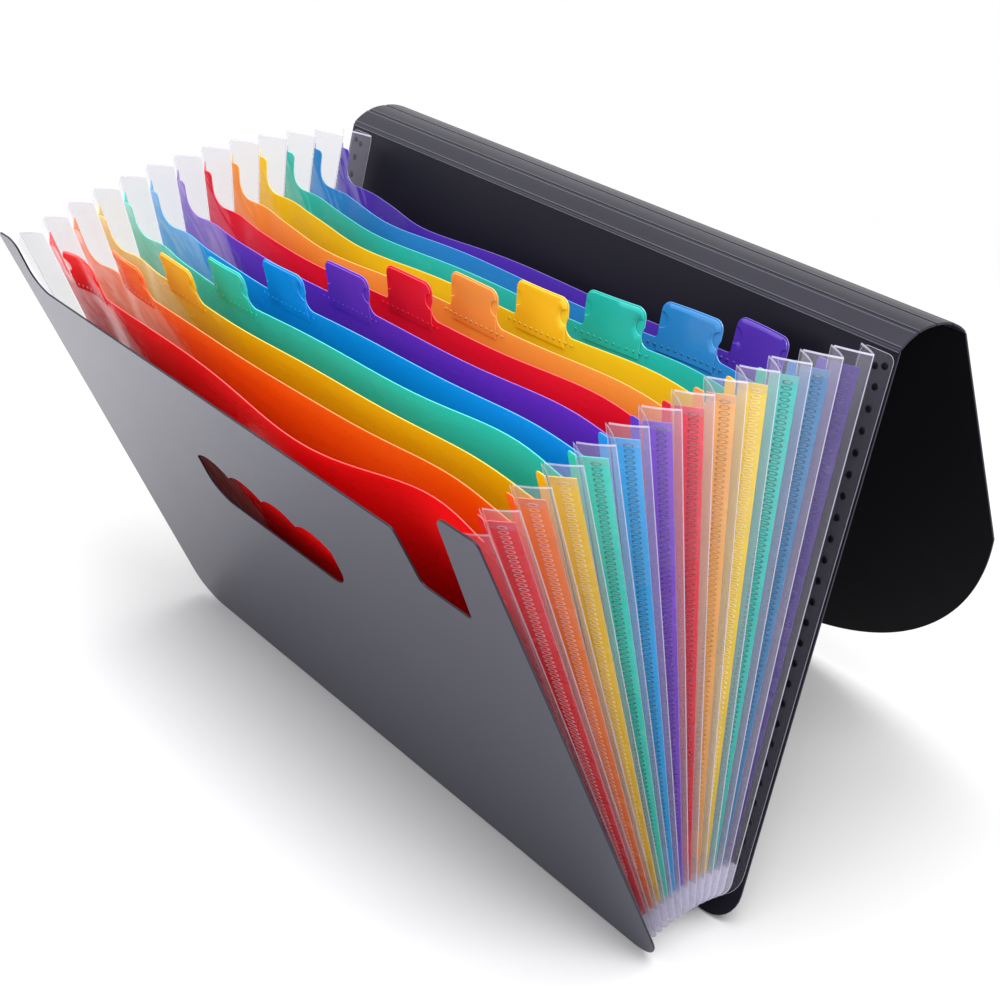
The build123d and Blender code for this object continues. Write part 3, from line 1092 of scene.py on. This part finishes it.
# %% Film zones
FLANGE_SHARE = 0.74
PANEL_SHARES = (0.0, 0.022, 0.27, 0.51, 0.75, 0.982)
FOLD_COLUMN = len(PANEL_SHARES)
PLEAT_COLUMNS = 2 * FOLD_COLUMN + 1
FROST_LOW = 226.0
CLEAR_LOW = 175.0
CLEAR_FOOT = 52.0
FROST_FOOT = 36.0
FILM_ZONES = [FILM, FILM_EDGE_HIGHLIGHT, FILM_WELDED, FILM_MIDDLE, FILM_CORNER, FILM_REAR, LOOSE_FILM_SHADED]


def film_zone(pocket, column, height):
    """The finish of a patch of film, by its column across the pleat and its height."""
    if column in (FOLD_COLUMN - 1, FOLD_COLUMN):
        return FILM_EDGE_HIGHLIGHT
    if height <= FILM_BEND:
        return FILM_CORNER
    if pocket == POCKETS:
        return FILM_REAR
    if height > FROST_LOW or height < FROST_FOOT:
        return FILM
    if pocket == 1 or column > FOLD_COLUMN or PANEL_SHARES[column] >= FLANGE_SHARE:
        return LOOSE_FILM_SHADED
    if CLEAR_FOOT < height < CLEAR_LOW:
        return FILM_WELDED
    return FILM_MIDDLE


print("film zones", len(FILM_ZONES))

# %% Film pleats
BILLOW = 0.5
WALL_SHARP = math.radians(35)


def walled(piece, thick):
    """The piece with a wall of even thickness, its rim in the second finish."""
    wall = piece.modifiers.new("wall", "SOLIDIFY")
    wall.thickness = thick * MM
    wall.offset = 0
    wall.use_even_offset = False
    wall.material_offset_rim = 1
    graph = bpy.context.evaluated_depsgraph_get()
    mesh = bpy.data.meshes.new_from_object(piece.evaluated_get(graph))
    piece.modifiers.remove(wall)
    piece.data = mesh
    mesh.set_sharp_from_angle(angle=WALL_SHARP)


def grid_faces(rows, columns):
    """Faces over rows and columns of points."""
    return [(i * columns + j, i * columns + j + 1, (i + 1) * columns + j + 1, (i + 1) * columns + j)
            for i in range(rows - 1) for j in range(columns - 1)]


for pocket in range(1, POCKETS + 1):
    stations = whole_run(FILM_TOP)
    last_row = len(stations) - 2
    places, kinds = [], []
    for station in stations:
        start, fold, end = pleat_folds(pocket, station)
        facing = (fold - start).cross(end - start).normalized()
        for first, last in ((start, fold), (fold, end)):
            out = (last - first).cross(facing).normalized()
            for t in PANEL_SHARES:
                places.append(first.lerp(last, t) + out * BILLOW * MM * math.sin(math.pi * t))
        places.append(end)
    for i, station in enumerate(stations[:-1]):
        for j in range(PLEAT_COLUMNS - 1):
            zone = FILM_EDGE_HIGHLIGHT if i in (0, last_row) else film_zone(pocket, j, station[1])
            kinds.append(FILM_ZONES.index(zone))
    faces = grid_faces(len(stations), PLEAT_COLUMNS)
    film = piece_from(f"film_pleat_{pocket:02d}", places, faces, kinds, FILM_ZONES)
    walled(film, FILM_THICK)
    body = "front_cover" if pocket == 1 else f"divider_{pocket - 1:02d}"
    settle(film, body, "clear_film", f"gusset_film_{pocket:02d}")
    press_flat(film, pocket - 1)
print("film pleats", POCKETS)

# %% [markdown]
# ## The weld flanges and film bands
#
# A divider's edge is turned along the inside of the film and welded to it, so a coloured strip shows
# through. The strip is built on the film's own stations, because a strip shaped by itself would cut
# through the folds. On each cover the film ends in a flat band of its own, which is a plain thin sheet.

# %% Weld flanges
FLANGE_FOOT_SHARE = 0.1
FLANGE_CLEAR = 0.25
FLANGE_THICK = 0.4
FLANGE_COLUMNS = 5
flange_away = FILM_THICK / 2 + FLANGE_CLEAR + FLANGE_THICK / 2


def flange_share(station):
    """Share of the front panel that the flange covers at a station."""
    if station[1] >= FILM_BEND:
        return FLANGE_SHARE
    drop = (FILM_BEND - station[1]) / INNER_ROUND
    return FLANGE_SHARE + (FLANGE_FOOT_SHARE - FLANGE_SHARE) * drop


def flange_point(number, station, t, lift=0.0):
    """A spot on the flange, t of the way from its sheet to the outer fold, and the way it faces."""
    start, fold, end = pleat_folds(number + 1, station)
    facing = (fold - start).cross(end - start).normalized()
    inward = facing.cross(fold - start).normalized()
    return start.lerp(fold, t) + inward * (flange_away - lift) * MM, -inward


for number, slot_name in enumerate(SLOTS, 1):
    stations = whole_run(TAB_TOP)
    places = []
    for station in stations:
        share = flange_share(station)
        for j in range(FLANGE_COLUMNS):
            places.append(flange_point(number, station, share * j / (FLANGE_COLUMNS - 1))[0])
    faces = grid_faces(len(stations), FLANGE_COLUMNS)
    finishes = [STRIP[slot_name], LABEL_EDGE[slot_name]]
    flange = piece_from(f"weld_strip_{number:02d}", places, faces, [0] * len(faces), finishes)
    walled(flange, FLANGE_THICK)
    settle(flange, f"divider_{number:02d}", slot_name, f"weld_flange_{number:02d}")
    press_flat(flange, number)
print("weld strips", len(SLOTS))

# %% Film bands
BAND_INSET = 1.0
BAND_RISE = 10.0
BAND_CELL = 5.0
BAND_GAP = 0.02
# Name, lean, side of the cover's face, width and body
BANDS = (("front", FRONT, -1, 10.0, "front_cover"), ("rear", BACK, 1, 15.0, "back_cover"))


def band_outline(lean, width):
    """A band down both sides of a cover and across its foot."""
    lift = ROOT - cover_root(lean)
    outer = HALF_WIDTH - BAND_INSET
    inner = outer - width
    foot, top = FILM_FOOT + lift, FILM_TOP + lift
    return rounded([
        (-outer, foot, COVER_CORNER),
        (outer, foot, COVER_CORNER),
        (outer, top, SMALL_ROUND),
        (inner, top, SMALL_ROUND),
        (inner, foot + BAND_RISE, SMALL_ROUND),
        (-inner, foot + BAND_RISE, SMALL_ROUND),
        (-inner, top, SMALL_ROUND),
        (-outer, top, SMALL_ROUND),
    ])


def band_spot(lean, side):
    """Placing rule for a band on the inside of a cover."""
    return lambda x, s, w: on_sheet(lean, x, s, w + side * (FILM_THICK / 2 + BAND_GAP), cover_root(lean))


for name, lean, side, width, body in BANDS:
    band = sheet_piece(
        f"{name}_film_edge", [band_outline(lean, width)], BAND_CELL, FILM_THICK,
        band_spot(lean, side), FILM_BAND, FILM_EDGE_HIGHLIGHT)
    settle(band, body, "clear_film", f"{name}_film_band")
print("film bands", len(BANDS))

# %% [markdown]
# ## Rows of weld marks
#
# The file is held together by rows of heat welds: a ladder of marks down each coloured strip, a line of
# dots under each tab and dimples along the film bands. Each could be placed by hand, but they all repeat
# along a line, so one geometry node tree makes them: it spaces points along a path and sets a flattened
# bead, or a ring, on each. The result is turned into a plain mesh for each body.

# %% Mark tree
MARK_SIZES = ("Pitch", "Mark Across", "Mark Along", "Mark Rise")


def mark_bead(tree, ring):
    """A round bead one unit across, or a ring of wire."""
    if ring:
        loop = add_node(tree, "GeometryNodeCurvePrimitiveCircle", Resolution=9, Radius=0.42)
        wire = add_node(tree, "GeometryNodeCurvePrimitiveCircle", Resolution=4, Radius=0.1)
        bead = add_node(tree, "GeometryNodeCurveToMesh", Curve=loop.outputs["Curve"])
        put(bead, "Profile Curve", wire.outputs["Curve"])
    else:
        bead = add_node(tree, "GeometryNodeMeshUVSphere", Segments=9, Rings=5, Radius=0.5)
    return bead.outputs["Mesh"]


def mark_tree(name, ring):
    """A tree that sets beads or rings along a path, turned to the path and flattened to named sizes."""
    tree = bpy.data.node_groups.new(name, "GeometryNodeTree")
    tree.interface.new_socket("Path", in_out="INPUT", socket_type="NodeSocketGeometry")
    for size in MARK_SIZES:
        tree.interface.new_socket(size, in_out="INPUT", socket_type="NodeSocketFloat")
    tree.interface.new_socket("Finish", in_out="INPUT", socket_type="NodeSocketMaterial")
    tree.interface.new_socket("Marks", in_out="OUTPUT", socket_type="NodeSocketGeometry")
    given = add_node(tree, "NodeGroupInput").outputs
    curve = add_node(tree, "GeometryNodeMeshToCurve", Mesh=given["Path"])
    spaced = add_node(
        tree, "GeometryNodeResampleCurve", mode="LENGTH", Curve=curve.outputs["Curve"],
        Length=given["Pitch"])
    along = add_node(tree, "GeometryNodeInputTangent")
    out = add_node(tree, "GeometryNodeInputNamedAttribute", data_type="FLOAT_VECTOR", Name="out")
    turn = add_node(tree, "FunctionNodeAxesToRotation", primary_axis="Z", secondary_axis="Y")
    put(turn, "Primary Axis", out.outputs["Attribute"])
    put(turn, "Secondary Axis", along.outputs["Tangent"])
    size = add_node(
        tree, "ShaderNodeCombineXYZ", X=given["Mark Across"], Y=given["Mark Along"],
        Z=given["Mark Rise"])
    placed = add_node(
        tree, "GeometryNodeInstanceOnPoints", Points=spaced.outputs["Curve"],
        Instance=mark_bead(tree, ring), Rotation=turn.outputs["Rotation"], Scale=size.outputs["Vector"])
    real = add_node(tree, "GeometryNodeRealizeInstances", Geometry=placed.outputs["Instances"])
    coat = add_node(
        tree, "GeometryNodeSetMaterial", Geometry=real.outputs["Geometry"], Material=given["Finish"])
    add_node(tree, "NodeGroupOutput", Marks=coat.outputs["Geometry"])
    return tree


RING_TREE = mark_tree("row_of_rings", True)
DOT_TREE = mark_tree("row_of_dots", False)
print("mark trees", len(RING_TREE.nodes), len(DOT_TREE.nodes), "nodes")

# %% Rows of marks


def row_of_marks(name, tree, paths, sizes, finish):
    """Marks spaced along paths of (place, facing) points, as one plain mesh."""
    mesh = bpy.data.meshes.new(name + "_path")
    places = [place for path in paths for place, _ in path]
    edges, first = [], 0
    for path in paths:
        edges += [(first + i, first + i + 1) for i in range(len(path) - 1)]
        first += len(path)
    mesh.from_pydata([tuple(p) for p in places], edges, [])
    facing = mesh.attributes.new("out", "FLOAT_VECTOR", "POINT")
    facing.data.foreach_set("vector", [v for path in paths for _, way in path for v in way])
    piece = bpy.data.objects.new(name, mesh)
    bpy.context.collection.objects.link(piece)
    maker = piece.modifiers.new("marks", "NODES")
    maker.node_group = tree
    items = tree.interface.items_tree
    sockets = {item.name: item.identifier for item in items if item.in_out == "INPUT"}
    for key, value in zip(MARK_SIZES, sizes):
        maker[sockets[key]] = value * MM
    maker[sockets["Finish"]] = finish
    graph = bpy.context.evaluated_depsgraph_get()
    made = bpy.data.meshes.new_from_object(piece.evaluated_get(graph))
    piece.modifiers.remove(maker)
    piece.data = made
    made.polygons.foreach_set("use_smooth", [True] * len(made.polygons))
    return piece


print("sizes of a row of marks:", ", ".join(MARK_SIZES))

# %% Ladders on the strips
LADDER_SIZES = (2.1, 3.8, 1.6, 1.4)
LADDER_AT = 0.34
LADDER_SHIFT = 0.025
LADDER_LAST = 0.48
LADDER_LIFT = 0.25
LADDER_START = 2.5
LADDER_STEP = 8.0
LADDER_STOPS = 23
for number, slot_name in enumerate(SLOTS, 1):
    heights = [TAB_TOP - LADDER_START - j * LADDER_STEP for j in range(LADDER_STOPS)]
    across = min(LADDER_AT + LADDER_SHIFT * (number - 1), LADDER_LAST)
    paths = []
    for side in (1, -1):
        stops = [(side * INNER_HALF, s, side * OUTER_HALF, s) for s in heights]
        paths.append([flange_point(number, stop, across, LADDER_LIFT) for stop in stops])
    ladder = row_of_marks(f"weld_ladder_{number:02d}", RING_TREE, paths, LADDER_SIZES, MARK[slot_name])
    settle(ladder, f"divider_{number:02d}", slot_name)
    press_flat(ladder, number)
print("ladders", len(SLOTS))

# %% Dots under the tabs
DOT_SIZES = (2.9, 1.2, 1.5, 0.3)
DOT_OVERRUN = 3.0
DOT_DROP = 2.6
DOT_STOPS = 12
for number, slot_name in enumerate(SLOTS, 1):
    spot = divider_spot(number, label_lift)
    facing = sheet_normal(lean_of(number))
    left = tab_left(number) - DOT_OVERRUN
    width = TAB_WIDTH + 2 * DOT_OVERRUN
    stops = [left + width * j / DOT_STOPS for j in range(DOT_STOPS + 1)]
    path = [(spot(x, DIVIDER_TOP - DOT_DROP, LABEL_THICK / 2), facing) for x in stops]
    dots = row_of_marks(f"tab_dots_{number:02d}", DOT_TREE, [path], DOT_SIZES, DOT[slot_name])
    settle(dots, f"divider_{number:02d}", slot_name)
    press_flat(dots, number)
print("dot rows", len(SLOTS))

# %% Dimples on the bands
DIMPLE_SIZES = (8.2, 2.8, 3.0, 0.5)
DIMPLE_INSET = 4.8
DIMPLE_LIFT = 0.1
DIMPLE_TOP = 220
DIMPLE_STEP = 20
DIMPLE_STOPS = 11
DIMPLE_PAIR = ((-2.4, 227.0), (1.6, 228.2))
across = HALF_WIDTH - BAND_INSET - DIMPLE_INSET
for name, lean, side, width, body in BANDS:
    spot = band_spot(lean, side)
    facing = sheet_normal(lean) * side
    rows = [[(across, DIMPLE_TOP - j * DIMPLE_STEP) for j in range(DIMPLE_STOPS)]]
    if side > 0:
        rows.append([(across + shift, s) for shift, s in DIMPLE_PAIR])
    paths = []
    for edge in (1, -1):
        for row in rows:
            paths.append([(spot(edge * x, s, side * DIMPLE_LIFT), facing) for x, s in row])
    dimples = row_of_marks(f"{name}_dimples", DOT_TREE, paths, DIMPLE_SIZES, FLAP_SHADE_AND_DIMPLES)
    settle(dimples, body, "cover_black")
print("dimple rows", len(BANDS))

# %% [markdown]
# ## The floor
#
# The file stands on a plain white ground that keeps its shadow. A floor that is white all over would
# fill the dark covers with its mirror image, so the camera sees it pale and every other ray sees a
# painted
# shade: dark near the file and pale further off. The covers' sheen then fades towards their feet, as in
# the photograph. Far out the floor turns clear, so that no horizon shows.

# %% Floor
FLOOR_REACH = 6.0
FLOOR_LEVEL = -0.0005
FLOOR_SEEN = (0.66, 0.66, 0.665, 1)
FLOOR_ROUGH = 0.7
GRADE_NEAR = 0.13
GRADE_FAR = 0.47
FLOOR_SHADE_DARK = 0.38
GRADE_PALE = 0.88
FADE_NEAR = 0.34
FADE_FAR = 0.95
floor_finish, floor_tree, floor_shader = new_finish("pale_floor")
floor_place = own_place(floor_tree)
away = add_node(floor_tree, "ShaderNodeVectorMath", operation="LENGTH", Vector=floor_place)
away = away.outputs["Value"]
# Painted shade: the floor is darker near the file for every ray but the camera's.
floor_shade_grade = share_of(floor_tree, away, GRADE_NEAR, GRADE_FAR, FLOOR_SHADE_DARK, GRADE_PALE)
seen = add_node(floor_tree, "ShaderNodeLightPath").outputs["Is Camera Ray"]
put(floor_shader, "Base Color", mix_colours(floor_tree, seen, floor_shade_grade, FLOOR_SEEN))
put(floor_shader, "Roughness", FLOOR_ROUGH)
fade = share_of(floor_tree, away, FADE_NEAR, FADE_FAR, 0.0, 1.0, "SMOOTHSTEP")
clear = add_node(floor_tree, "ShaderNodeBsdfTransparent").outputs["BSDF"]
mix_shaders(floor_tree, fade, floor_shader.outputs["BSDF"], clear)
turns = ((-1, -1), (1, -1), (1, 1), (-1, 1))
corners = [(x * FLOOR_REACH, y * FLOOR_REACH, FLOOR_LEVEL) for x, y in turns]
floor = piece_from("floor", corners, [(0, 1, 2, 3)], [0], [floor_finish])
print("floor fades to white from", FADE_NEAR, "m to", FADE_FAR, "m")

# %% [markdown]
# ## The light
#
# Product photographs use large soft lamps, because a small one would throw hard shadows into the pleats.
# One hangs overhead, one stands to the right and a broad weak one fills from the front left. The world
# is white to the camera, in gloss and through film, and dimmer as a source of light, so that the colours
# keep their depth. A sight line passes many walls of film, so more clear surfaces in a row are allowed
# than usual.

# %% Light
SKY_STRENGTH = 0.63
CLEAR_WALLS = 32
world = bpy.data.worlds.new("studio")
bpy.context.scene.world = world
world.use_nodes = True
sky_tree = world.node_tree
sky = sky_tree.nodes["Background"]
put(sky, "Color", WHITE)
put(sky, "Strength", SKY_STRENGTH)
backdrop = add_node(sky_tree, "ShaderNodeBackground", Color=WHITE)
ray = add_node(sky_tree, "ShaderNodeLightPath").outputs
seen = sum_of(sky_tree, "MAXIMUM", ray["Is Camera Ray"], ray["Is Glossy Ray"])
seen = sum_of(sky_tree, "MAXIMUM", seen, ray["Is Transmission Ray"])
mix_shaders(sky_tree, seen, sky.outputs["Background"], backdrop.outputs["Background"], "World Output")


def lamp(name, place, target, size, power):
    """A soft square lamp aimed at a point."""
    light = bpy.data.lights.new(name, "AREA")
    light.size = size
    light.energy = power
    holder = bpy.data.objects.new(name, light)
    bpy.context.collection.objects.link(holder)
    holder.location = place
    holder.rotation_euler = (Vector(target) - Vector(place)).to_track_quat("-Z", "Y").to_euler()


lamp("overhead", (0.1, -0.4, 1.85), (0, 0, 0.1), 1.2, 27.0)
lamp("side", (1.1, -0.5, 1.7), (0.1, 0, 0.12), 1.0, 33.0)
lamp("front", (-1.2, -1.4, 1.0), (0, 0, 0.12), 2.2, 20.0)
bpy.context.scene.cycles.transparent_max_bounces = CLEAR_WALLS
print("lamps", len(bpy.data.lights))

# %% [markdown]
# ## The camera
#
# The camera stands to the right and above, as in the photograph, with a lens of about 67 mm. Its place
# was found by fitting the ends of the film's folds. The lens is shifted because the picture is a crop,
# which keeps the file's perspective as it is and only slides the frame.

# %% Camera
CAMERA_PLACE = (0.540235, -0.473441, 0.470725)
CAMERA_HEADING = 0.93968
CAMERA_TIP = 1.15603
CAMERA_ROLL = 0.03720
camera = bpy.data.cameras.new("photo_camera")
camera.sensor_width = 36.0
camera.lens = 67.13
camera.shift_x = 0.1336
camera.shift_y = -0.1055
eye = bpy.data.objects.new("photo_camera", camera)
bpy.context.collection.objects.link(eye)
turn = Matrix.Rotation(CAMERA_HEADING, 4, "Z") @ Matrix.Rotation(CAMERA_TIP, 4, "X")
turn = turn @ Matrix.Rotation(CAMERA_ROLL, 4, "Z")
eye.matrix_world = Matrix.Translation(CAMERA_PLACE) @ turn
bpy.context.scene.camera = eye
bpy.context.scene.view_settings.view_transform = "Standard"
print("camera stands", round(Vector(CAMERA_PLACE).length, 2), "m from the middle of the floor")
